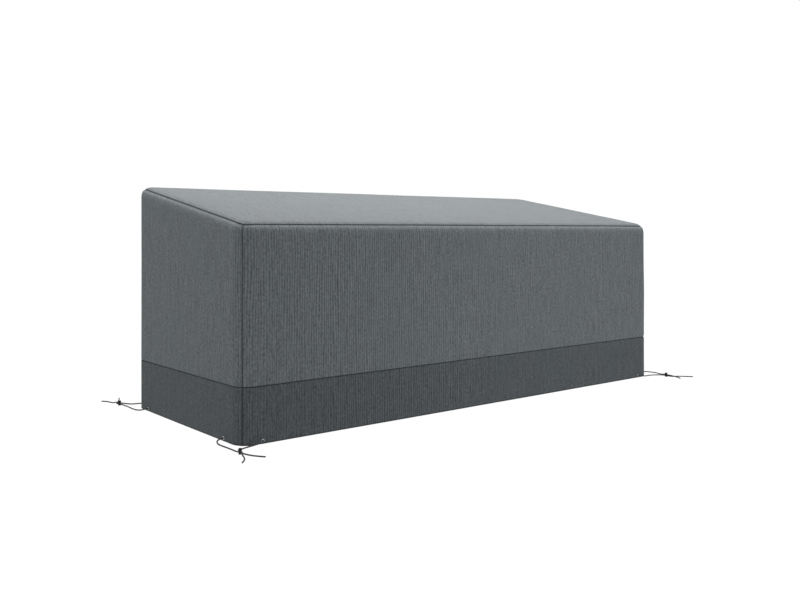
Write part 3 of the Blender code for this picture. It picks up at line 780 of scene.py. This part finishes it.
eyeletShape = {
    "bore": 0.0028,
    "flange": 0.0061,
    "lip": 0.0010,
    "wall": 0.0008,
    "crown": 0.0012,  # how wide the bore's edge rolls out
    "rimRound": 0.0008,
    "hemThickness": 0.0035,
    "clearance": (0.0001, 0.0002),  # off the hem's face and off its back
    # the washer behind the hem: its rim, in from the flange and back from the hem, then its roundness
    "washerRim": (0.0010, 0.0005),
    "washerRound": 0.0004,
    "washerBack": (0.0010, 0.0004),  # how far back it lies at the crown and at the bore
}


def facing(side):
    # Turns +Z to a side's outward direction.
    return Vector(outwards[side]).to_track_quat("Z", "Y").to_matrix().to_4x4()


def makeEyelets():
    bore = eyeletShape["bore"]
    flange = eyeletShape["flange"]
    lip = eyeletShape["lip"]
    rim = eyeletShape["rimRound"]
    back = -eyeletShape["hemThickness"]
    shank = bore + eyeletShape["wall"]
    crown = bore + eyeletShape["crown"]
    before, behind = eyeletShape["clearance"]
    rimIn, rimBack = eyeletShape["washerRim"]
    crownBack, boreBack = eyeletShape["washerBack"]
    outline = arcPoints((crown, lip * 0.1), crown - bore, 180, 90, 6)
    outline += arcPoints((flange - rim, lip / 2), rim, 90, -30, 7)
    outline += [(shank, before), (shank, back - behind)]
    outline += arcPoints((flange - rimIn, back - rimBack), eyeletShape["washerRound"], 60, -90, 5)
    outline += [(crown, back - crownBack), (bore, back - boreBack)]
    pattern = turnOutline("eyelet", outline)
    made = {side: [] for side in sides}
    for corner, (signX, signY) in corners.items():
        endWall = "left" if signX < 0 else "right"
        longWall = "front" if signY < 0 else "back"
        for kind, side in (("end", endWall), ("side", longWall)):
            node = "eyelet_" + corner + "_" + kind
            place = eyeletAt(corner, kind)
            piece = copyTo(pattern, "visible_" + node, Matrix.Translation(place) @ facing(side))
            dress(piece, eyeletNickel, "eyelet_metal", node)
            made[side].append((place, piece))
    bpy.data.objects.remove(pattern)
    return made


eyelets = makeEyelets()
print("eyelets set")


sewing = {
    "gap": 0.00045,  # between two panels at their seam
    "turnedIn": 0.004,  # straight part of the edge inside the seam
    "lipSteps": 5,
    "acrossStep": 0.0060,  # mesh spacing along the cover's outline
    "upStep": 0.0120,
    "topLip": 0.0042,  # how roundly an edge turns into its seam
    "wallLip": 0.0030,
    "bandLip": 0.0024,
    "cornerLip": 0.0022,
    # where the closer rows beside a seam lie, past its lip
    "nearLines": (0.0010, 0.0020, 0.0032, 0.0046, 0.0064, 0.0086, 0.0115, 0.0150, 0.0200),
}
# How dark the painted shade at each seam's edges is, as a share of the weave's own seamShade, and how far
# that reaches.
seamShades = {
    "corner": (0.44, 0.0042),
    "band": (0.60, 0.0035),
    "skirtBand": (0.50, 0.0035),
    "top": (0.66, 0.0070),
    "topPanel": (0.70, 0.0035),
    # topEdge is painted shade on the top panel, fading away from its seam over the roll.
    "topEdge": (0.12, 0.060),  # the top panel's soft turn towards its seam
}
unevenness = {
    "swell": 0.0011,  # broad waves of the taut cloth
    "swellSize": 0.34,
    "ripple": 0.00022,
    "rippleSize": 0.055,
    "rippleSeed": (7.3, 1.9, 4.4),
    "pucker": 0.00016,  # gathers along the seams
    "puckerSize": 0.017,
    "puckerSeed": (2.1, 8.8, 5.2),
    "puckerReach": 0.016,
}
# The top seam is pulled down a little at each corner, which makes its turn there crisper.
cornerDip = {
    "depth": 0.0042,
    "reach": cover["cornerRadius"] * math.pi / 4,
    "onWall": 0.060,
    "onTop": 0.030,
}
# The corner seams stand out a little, less so near the top, and are pinched in at the band seam.
cornerRidge = {
    "height": {
        "front_left": 0.0014,
        "front_right": 0.0033,
        "back_right": 0.0033,
        "back_left": 0.0014,
    },
    "reach": 0.0060,
    "fullBelow": 0.42,
    "goneAbove": 0.60,
    "pinch": 0.0060,
}
# The folded seam allowance shows as a ridge under the top seam, with a painted highlight along it.
welt = {"place": 0.0120, "width": 0.0075, "height": 0.0012, "light": 0.28}


def turnIn(distance, lip):
    # From the cut edge straight out of the seam, then over the lip to the face.
    inner = sewing["turnedIn"]
    arc = lip * math.pi / 2
    if distance < inner:
        return 0.0, lip + inner - distance
    if distance < inner + arc:
        turn = (distance - inner) / lip
        return lip * (1 - math.cos(turn)), lip * (1 - math.sin(turn))
    return lip + distance - inner - arc, 0.0


def edgeLines(lip):
    inner = sewing["turnedIn"]
    arc = lip * math.pi / 2
    lines = [0.0] + [inner + arc * step / sewing["lipSteps"] for step in range(sewing["lipSteps"] + 1)]
    return lines + [lines[-1] + extra for extra in sewing["nearLines"]]


def cutLines(face, lips, step):
    # Lines across a flat cut, from one seam to the next: flat place, place on the face and depth.
    first, last = (edgeLines(lip) for lip in lips)
    flat = face - sewing["gap"] + sum(sewing["turnedIn"] + lip * (math.pi / 2 - 1) for lip in lips)
    start = first[-1]
    end = flat - last[-1]
    count = max(1, round((end - start) / step))
    places = first + [start + (end - start) * k / count for k in range(1, count)]
    places += [flat - place for place in reversed(last)]
    lines = []
    for place in places:
        nearFirst = place <= flat / 2
        lip = lips[0] if nearFirst else lips[1]
        run, depth = turnIn(place if nearFirst else flat - place, lip)
        run += sewing["gap"] / 2
        along = run if nearFirst else face - run
        lines.append({"flat": place, "along": along, "depth": depth, "toSeam": run})
    return lines


def waveAt(place, kind):
    seed = Vector(unevenness.get(kind + "Seed", (0, 0, 0)))
    return noise.noise(place / unevenness[kind + "Size"] + seed)


def reliefAt(place, seamDistance):
    swell = waveAt(place, "swell") * unevenness["swell"]
    ripple = waveAt(place, "ripple") * unevenness["ripple"]
    pull = math.exp(-max(seamDistance, 0) / unevenness["puckerReach"]) * unevenness["pucker"]
    return swell + ripple + waveAt(place, "pucker") * pull


def dipAt(fromCorner, fromSeam, fadeOver):
    pulled = max(0.0, 1 - fromCorner / cornerDip["reach"])
    return cornerDip["depth"] * pulled * max(0.0, 1 - fromSeam / fadeOver)


def rollPoint(turn, depth):
    # Inset from the wall's face and rise over the roll's start, on the rolled upper edge.
    reach = cover["rollRadius"] - depth
    return cover["rollRadius"] - reach * math.cos(turn), reach * math.sin(turn)


def layGrid(name, columns, rows, placeVertex):
    # A flat grid the size of the cut, moved point by point to the form it takes on the cover.
    deselectAll()
    across = len(columns) - 1
    up = len(rows) - 1
    bpy.ops.mesh.primitive_grid_add(x_subdivisions=across, y_subdivisions=up, size=1)
    piece = bpy.context.object
    piece.name = piece.data.name = name
    mesh = piece.data
    # Painted shade for each point, and a painted highlight where it is negative.
    shades = mesh.attributes.new("seamShade", "FLOAT", "POINT")
    flats = []
    for vertex in mesh.vertices:
        column = columns[round((vertex.co.x + 0.5) * across)]
        row = rows[round((vertex.co.y + 0.5) * up)]
        place, lift, shade = placeVertex(column, row)
        vertex.co = place
        flats.append((column["flat"], row["flat"] + lift))
        shades.data[vertex.index].value = shade
    layer = mesh.uv_layers[0]
    layer.name = "cut"
    for loop, spot in zip(mesh.loops, layer.data):
        spot.uv = flats[loop.vertex_index]
    thick = piece.modifiers.new("cloth", "SOLIDIFY")
    thick.thickness = cover["clothThickness"]
    thick.offset = -1
    applyModifiers(piece)
    smooth("cloth")
    return piece


def cornerCentre(corner):
    signX, signY = corners[corner]
    radius = cover["cornerRadius"]
    return Vector((signX * (cover["halfLength"] - radius), signY * (cover["halfDepth"] - radius), 0))


def sideFace(side):
    start, end = (cornerCentre(corner) for corner in sides[side])
    return (end - start).length + cover["cornerRadius"] * math.pi / 2


def onSide(side, along):
    # Centre and outward direction of the plan outline at a distance along a side's face.
    start, end = (cornerCentre(corner) for corner in sides[side])
    ahead = (end - start).normalized()
    outward = Vector((ahead.y, -ahead.x, 0))
    halfArc = cover["cornerRadius"] * math.pi / 4
    straight = min(max(along - halfArc, 0), (end - start).length)
    turn = (along - halfArc - straight) / cover["cornerRadius"]
    return start + ahead * straight, Matrix.Rotation(turn, 3, "Z") @ outward


def seamShade(line, seam):
    # Painted shade: full inside the seam, fading out over the cloth beside it.
    strength, width = seamShades[seam]
    if line["depth"] > 0:
        return strength
    return strength * max(0.0, 1 - line["toSeam"] / width)


def ridgeShare(row):
    span = cornerRidge["goneAbove"] - cornerRidge["fullBelow"]
    fade = min(max((cornerRidge["goneAbove"] - row["height"]) / span, 0), 1)
    return fade * (1 - math.exp(-(row["toSeam"] / cornerRidge["pinch"]) ** 2))


def makeSideCloth(name, side, rows, placeRow):
    # One wall or skirt panel, from the middle of one corner to the middle of the next.
    columns = cutLines(sideFace(side), (sewing["cornerLip"],) * 2, sewing["acrossStep"])
    for column in columns:
        column["centre"], column["arm"] = onSide(side, column["along"])
        corner = sides[side][0 if column["along"] < sideFace(side) / 2 else 1]
        nearSeam = math.exp(-(column["toSeam"] / cornerRidge["reach"]) ** 2)
        column["ridge"] = cornerRidge["height"][corner] * nearSeam

    def placeVertex(column, row):
        centre = column["centre"]
        arm = column["arm"]
        guess = centre + arm * cover["cornerRadius"] + Vector((0, 0, row["height"]))
        depth = math.hypot(column["depth"], row["depth"])
        depth -= reliefAt(guess, min(column["toSeam"], row["toSeam"]))
        depth -= column["ridge"] * ridgeShare(row)
        inset, height = placeRow(row, column, depth)
        place = centre + arm * (cover["cornerRadius"] - inset)
        share = min(max((height - cover["skirtHeight"]) / (rollStart - cover["skirtHeight"]), 0), 1)
        lift = slope * (place.y + cover["halfDepth"]) * share
        place.z = height + lift
        # Painted shade at the corner seams and along the hem's fold at the floor, darkest near a corner.
        nearCorner = math.exp(-(column["toSeam"] / hem["cornerReach"]) ** 2)
        hemShade = hem["shade"] + (hem["cornerShade"] - hem["shade"]) * nearCorner
        edgeShade = max(seamShade(column, "corner"), hemShade * row.get("hemShade", 0))
        shade = max(edgeShade, row["shade"]) if edgeShade > 0 else row["shade"]
        return place, lift, shade

    return layGrid(name, columns, rows, placeVertex), columns[-1]["flat"], rows[-1]["flat"]


def makeWall(side):
    straight = rollStart - cover["skirtHeight"]
    face = straight + seamTurn * cover["rollRadius"]
    rows = cutLines(face, (sewing["bandLip"], sewing["wallLip"]), sewing["upStep"])
    for row in rows:
        row["height"] = cover["skirtHeight"] + row["along"]
        # Painted shade at the band seam. Near the top seam, painted shade less a painted highlight along
        # the welt.
        row["shade"] = seamShade(row, "band")
        if row["along"] > face / 2:
            fromWelt = (row["toSeam"] - welt["place"]) / welt["width"]
            row["welt"] = math.exp(-fromWelt ** 2)
            row["shade"] = seamShade(row, "top") - welt["light"] * row["welt"]

    def placeRow(row, column, depth):
        depth -= welt["height"] * row.get("welt", 0)
        dip = dipAt(column["toSeam"], face - row["along"], cornerDip["onWall"])
        turn = max(row["along"] - dip - straight, 0) / cover["rollRadius"]
        inset, rise = rollPoint(turn, depth)
        return inset, min(row["height"] - dip, rollStart) + rise

    piece, width, height = makeSideCloth(side + "WallCloth", side, rows, placeRow)
    dress(piece, upperCloth, "upper_cloth", side + "_wall")


hem = {
    "height": 0.024,
    "foldRadius": 0.0017,
    # Painted shade along the hem's fold at the floor, up to shadeHeight above it.
    "shade": 0.62,  # darker along the fold at the floor, and darker still at a corner
    "cornerShade": 1.0,
    "cornerReach": 0.045,
    "shadeHeight": 0.0052,
    "innerRows": 3,
    "foldSteps": 8,
    "nearLines": (0.0010, 0.0020, 0.0035, 0.0060, 0.0100, 0.0180),  # rows just above the fold
    "plainAbove": 0.002,  # from here over the hem, the rows are evenly spaced
    "holeRadius": 0.0039,
    "punchLength": 0.03,
}


def hemRows():
    # Up the hem's inner layer, round the fold at the floor and up the face to the band seam.
    fold = hem["foldRadius"]
    face = cover["skirtHeight"]
    plain = hem["height"] + hem["plainAbove"]
    inner = hem["innerRows"]
    points = [(hem["height"] * (1 - step / inner) + fold, 2 * fold) for step in range(inner)]
    for step in range(hem["foldSteps"] + 1):
        turn = math.pi * step / hem["foldSteps"]
        points.append((fold * (1 - math.sin(turn)), fold * (1 + math.cos(turn))))
    points += [(fold + above, 0.0) for above in hem["nearLines"]]
    lines = cutLines(2 * (face - plain), (sewing["bandLip"],) * 2, sewing["upStep"])
    upper = [line for line in reversed(lines) if line["along"] <= face - plain]
    points += [(face - line["along"], line["depth"]) for line in upper]
    rows = []
    for index, (height, depth) in enumerate(points):
        walked = rows[-1]["flat"] + math.dist(points[index], points[index - 1]) if rows else 0.0
        row = {"flat": walked, "height": height, "depth": depth, "toSeam": face - height}
        # Painted shade at the band seam and along the hem's fold.
        row["shade"] = seamShade(row, "skirtBand") if height > face / 2 else 0.0
        row["hemShade"] = 1 - max(height - fold, 0) / hem["shadeHeight"]
        rows.append(row)
    return rows


def makeSkirt(side):
    def placeRow(row, column, depth):
        return depth, row["height"]

    piece, width, height = makeSideCloth(side + "SkirtCloth", side, hemRows(), placeRow)
    for place, rim in eyelets[side]:
        bpy.ops.mesh.primitive_cylinder_add(radius=hem["holeRadius"], depth=hem["punchLength"])
        punch = bpy.context.object
        punch.data.transform(Matrix.Translation(place) @ facing(side))
        cutOut(piece, punch, "hole")
        applyModifiers(piece)
        bpy.data.objects.remove(punch)
    dress(piece, skirtCloth, "skirt_cloth", side + "_skirt")


def makeTop():
    halfLength = cover["halfLength"]
    halfDepth = cover["halfDepth"]
    radius = cover["cornerRadius"]
    rolled = (math.pi / 2 - seamTurn) * cover["rollRadius"]  # face between the seam and the flat part
    margin = rolled - cover["rollRadius"]  # added to an inset, gives the distance from the seam
    cornerZone = radius + margin  # closer to a seam than this, the rings are rounded
    wide = 2 * (halfLength + margin)
    deep = 2 * (halfDepth + margin)
    columns = cutLines(wide, (sewing["topLip"],) * 2, sewing["acrossStep"])
    rows = cutLines(deep, (sewing["topLip"],) * 2, sewing["upStep"])

    def ringAt(distance, depth, fromCorner):
        dip = dipAt(fromCorner, distance, cornerDip["onTop"])
        turn = min(seamTurn + (distance - dip) / cover["rollRadius"], math.pi / 2)
        inset, rise = rollPoint(turn, depth)
        return inset + max(distance - rolled, 0), rise - cover["rollRadius"]

    def placeVertex(column, row):
        signX = -1 if column["along"] < wide / 2 else 1
        signY = -1 if row["along"] < deep / 2 else 1
        nearest = column if column["toSeam"] <= row["toSeam"] else row
        inX = max(column["toSeam"], cornerZone) - margin
        inY = max(row["toSeam"], cornerZone) - margin
        guess = Vector((signX * (halfLength - inX), signY * (halfDepth - inY), cover["frontHeight"]))
        depth = nearest["depth"] - reliefAt(guess, nearest["toSeam"])
        acrossZone = cornerZone - column["toSeam"]
        upZone = cornerZone - row["toSeam"]
        atCorner = acrossZone > 0 and upZone > 0
        share = min(acrossZone, upZone) / max(acrossZone, upZone) if atCorner else 0.0
        inset, drop = ringAt(nearest["toSeam"], depth, (1 - share) * math.pi / 4 * radius)
        x = halfLength - (inset if acrossZone > 0 else inX)
        y = halfDepth - (inset if upZone > 0 else inY)
        if atCorner:
            turn = math.pi / 4 * (share if acrossZone >= upZone else 2 - share)
            x = halfLength - radius + (radius - inset) * math.cos(turn)
            y = halfDepth - radius + (radius - inset) * math.sin(turn)
        place = Vector((signX * x, signY * y, 0))
        place.z = cover["frontHeight"] + slope * (place.y + halfDepth) + drop
        # Painted shade at the top seam and, more softly, over the top panel's rolled edge.
        strength, reach = seamShades["topEdge"]
        edgeShade = strength * math.exp(-nearest["toSeam"] / reach)
        return place, 0.0, max(seamShade(nearest, "topPanel"), edgeShade)

    piece = layGrid("topCloth", columns, rows, placeVertex)
    dress(piece, topCloth, "upper_cloth", "top_panel")


makeTop()
print("top panel sewn")
for side in sides:
    makeWall(side)
    makeSkirt(side)
    print(side, "wall and skirt sewn")


studio = {
    "sky": 1.0,
    "floorSize": 60,
    "floorDrop": 0.0004,
    "floorGrey": 0.03,
    "floorGlow": 0.985,
    "key": 325.0,  # watts, overhead and a little behind
    "keyPlace": (0.2, 0.7, 3.6),
    "keyAim": (0, 0, 0.7),
    "keySize": (5.0, 3.0),
    "keyColour": (1.0, 0.985, 0.975),
    "fill": 112.0,  # watts, a soft spot on the front's right half
    "fillPlace": (0.9, -3.4, 1.1),
    "fillAim": (0.55, -0.43, 0.35),
    "fillSpread": 56.0,
    "fillSoftness": 0.4,
}


def addLight(name, kind, place, target, power):
    bpy.ops.object.light_add(type=kind, location=place)
    light = bpy.context.object
    light.name = name
    light.data.energy = power
    light.rotation_euler = (Vector(target) - Vector(place)).to_track_quat("-Z", "Y").to_euler()
    return light.data


def makeStudio():
    deselectAll()
    bpy.ops.mesh.primitive_plane_add(size=studio["floorSize"], location=(0, 0, -studio["floorDrop"]))
    floor = bpy.context.object
    floor.name = "floor"
    paper, tree, shader = newMaterial("whitePaper")
    feed(tree, shader, {
        "Base Color": (*(studio["floorGrey"],) * 3, 1),
        "Specular IOR Level": 0.0,
        "Emission Color": (1, 1, 1, 1),
        "Emission Strength": studio["floorGlow"],
    })
    floor.data.materials.append(paper)
    world = bpy.data.worlds.new("studio")
    bpy.context.scene.world = world
    world.use_nodes = True
    background = world.node_tree.nodes["Background"]
    feed(world.node_tree, background, {"Color": (1, 1, 1, 1), "Strength": studio["sky"]})
    key = addLight("key", "AREA", studio["keyPlace"], studio["keyAim"], studio["key"])
    key.shape = "RECTANGLE"
    key.color = studio["keyColour"]
    key.size = studio["keySize"][0]
    key.size_y = studio["keySize"][1]
    fill = addLight("fill", "SPOT", studio["fillPlace"], studio["fillAim"], studio["fill"])
    fill.spot_size = math.radians(studio["fillSpread"])
    fill.spot_blend = 1.0
    fill.shadow_soft_size = studio["fillSoftness"]
    bpy.context.scene.view_settings.view_transform = "Standard"


makeStudio()
print("floor and light set")
